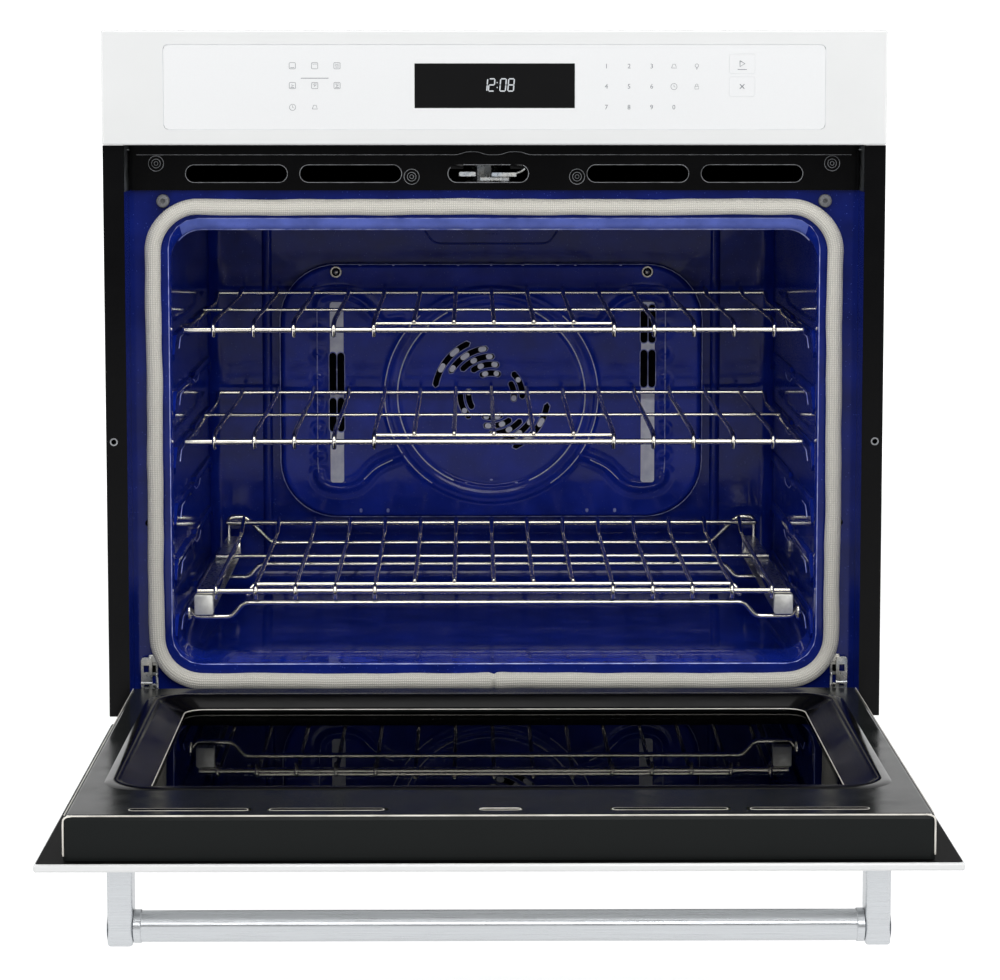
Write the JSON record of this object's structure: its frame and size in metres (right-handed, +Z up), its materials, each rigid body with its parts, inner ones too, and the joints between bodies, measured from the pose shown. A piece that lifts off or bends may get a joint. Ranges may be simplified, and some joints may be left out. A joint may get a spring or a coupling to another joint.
{
  "type": "wall oven",
  "caption": "Built-in single convection wall oven with drop-down door, pull-out racks, roll-out glide rack, touch controls and a tubular door handle.",
  "frame": {"origin": "middle of the chassis base's flat underside", "axes": "+Z up, -Y out of the oven's front, +X to the right seen from the front"},
  "size_m": [0.762, 1.1422, 0.7612],
  "materials": {
    "white_enamel": "glossy white enamel",
    "white_glass": "back-painted white glass",
    "black_glass": "gloss black glass",
    "clear_glass": "clear tempered glass",
    "black_enamel": "gloss black porcelain enamel",
    "blue_enamel": "speckled blue porcelain enamel",
    "zinc_plate": "bright zinc plate",
    "galvanised_steel": "galvanised sheet",
    "chrome_wire": "bright chrome-plated wire",
    "brushed_aluminium": "fine lengthwise brushed",
    "woven_glass_fibre": "woven glass fibre over a wire core",
    "mineral_wool": "mineral wool",
    "grey_silicone": "matt grey silicone",
    "heater_sheath": "oxidised heater sheath",
    "circuit_board": "circuit board",
    "motor_steel": "motor laminations"
  },
  "bodies": {
    "chassis": {"base_pan": "galvanised_steel", "side_panel_left": "galvanised_steel", "side_panel_right": "galvanised_steel", "top_cover": "galvanised_steel", "rear_panel": "galvanised_steel", "bay_floor": "galvanised_steel", "front_frame": "blue_enamel", "oven_cavity": "blue_enamel", "rear_baffle": "blue_enamel", "insulation_blanket": "mineral_wool", "side_trim_left": "black_enamel", "side_trim_right": "black_enamel", "lower_trim": "black_enamel", "vent_trim": "black_enamel", "door_gasket": "woven_glass_fibre", "bumper_left": "grey_silicone", "bumper_right": "grey_silicone", "control_panel": "white_enamel", "touch_glass": "white_glass", "display_lens": "black_glass", "control_board": "circuit_board", "relay_board": "circuit_board", "broil_element": "heater_sheath", "bake_element": "heater_sheath", "convection_element": "heater_sheath", "fan_motor": "motor_steel", "air_duct": "galvanised_steel", "blower_housing": "galvanised_steel", "lamp_housing": "galvanised_steel", "lamp_lens": "clear_glass", "temperature_probe": "chrome_wire", "junction_box": "galvanised_steel", "latch_base": "zinc_plate", "glide_base_frame": "chrome_wire", "slide_outer_left": "zinc_plate", "slide_outer_right": "zinc_plate", "hinge_bracket_left": "zinc_plate", "hinge_bracket_right": "zinc_plate"},
    "door": {"door_skin": "white_enamel", "door_liner": "black_enamel", "door_outer_glass": "black_glass", "door_inner_glass": "clear_glass", "door_middle_glass": "clear_glass", "glass_spacer": "zinc_plate", "door_insulation": "mineral_wool", "hinge_arm_left": "zinc_plate", "hinge_arm_right": "zinc_plate", "handle_bar": "brushed_aluminium", "handle_post_left": "brushed_aluminium", "handle_post_right": "brushed_aluminium"},
    "rack_top": {"rack_top": "chrome_wire"},
    "rack_middle": {"rack_middle": "chrome_wire"},
    "glide_rack": {"glide_rack": "chrome_wire"},
    "slide_left": {"slide_middle_left": "zinc_plate"},
    "slide_right": {"slide_middle_right": "zinc_plate"},
    "latch_hook": {"latch_hook": "zinc_plate"},
    "hinge_lock_left": {"hinge_lock_left": "zinc_plate"},
    "hinge_lock_right": {"hinge_lock_right": "zinc_plate"},
    "convection_fan": {"convection_fan": "zinc_plate"},
    "blower_wheel": {"blower_wheel": "brushed_aluminium"}
  },
  "joints": [
    {"name": "door_hinge", "type": "hinge", "parent": "chassis", "child": "door", "pos_m": [0, -0.287, 0.0593], "axis": [-1, 0, 0], "range_deg": [0, 90], "deforming": ["door_gasket"]},
    {"name": "rack_top_slide", "type": "slide", "parent": "chassis", "child": "rack_top", "axis": [0, 1, 0], "range_m": [-0.3, 0]},
    {"name": "rack_middle_slide", "type": "slide", "parent": "chassis", "child": "rack_middle", "axis": [0, 1, 0], "range_m": [-0.3, 0]},
    {"name": "glide_rack_slide", "type": "slide", "parent": "chassis", "child": "glide_rack", "axis": [0, 1, 0], "range_m": [-0.33, 0]},
    {"name": "slide_left_travel", "type": "slide", "parent": "chassis", "child": "slide_left", "axis": [0, 1, 0], "range_m": [-0.165, 0]},
    {"name": "slide_right_travel", "type": "slide", "parent": "chassis", "child": "slide_right", "axis": [0, 1, 0], "range_m": [-0.165, 0]},
    {"name": "latch_swing", "type": "hinge", "parent": "chassis", "child": "latch_hook", "pos_m": [0.01, -0.2477, 0.5875], "axis": [0, 0, 1], "range_deg": [0, 90]},
    {"name": "hinge_lock_left_fold", "type": "hinge", "parent": "chassis", "child": "hinge_lock_left", "pos_m": [-0.348, -0.2554, 0.076], "axis": [-1, 0, 0], "range_deg": [-90, 0]},
    {"name": "hinge_lock_right_fold", "type": "hinge", "parent": "chassis", "child": "hinge_lock_right", "pos_m": [0.348, -0.2554, 0.076], "axis": [-1, 0, 0], "range_deg": [-90, 0]},
    {"name": "convection_fan_spin", "type": "hinge", "parent": "chassis", "child": "convection_fan", "pos_m": [0, 0.2473, 0.324], "axis": [0, 1, 0], "continuous": true},
    {"name": "blower_spin", "type": "hinge", "parent": "chassis", "child": "blower_wheel", "pos_m": [-0.1, 0.0263, 0.653], "axis": [1, 0, 0], "continuous": true}
  ],
  "couplings": [
    {"joint": "slide_left_travel", "follows": "glide_rack_slide", "ratio": 0.5},
    {"joint": "slide_right_travel", "follows": "glide_rack_slide", "ratio": 0.5}
  ]
}
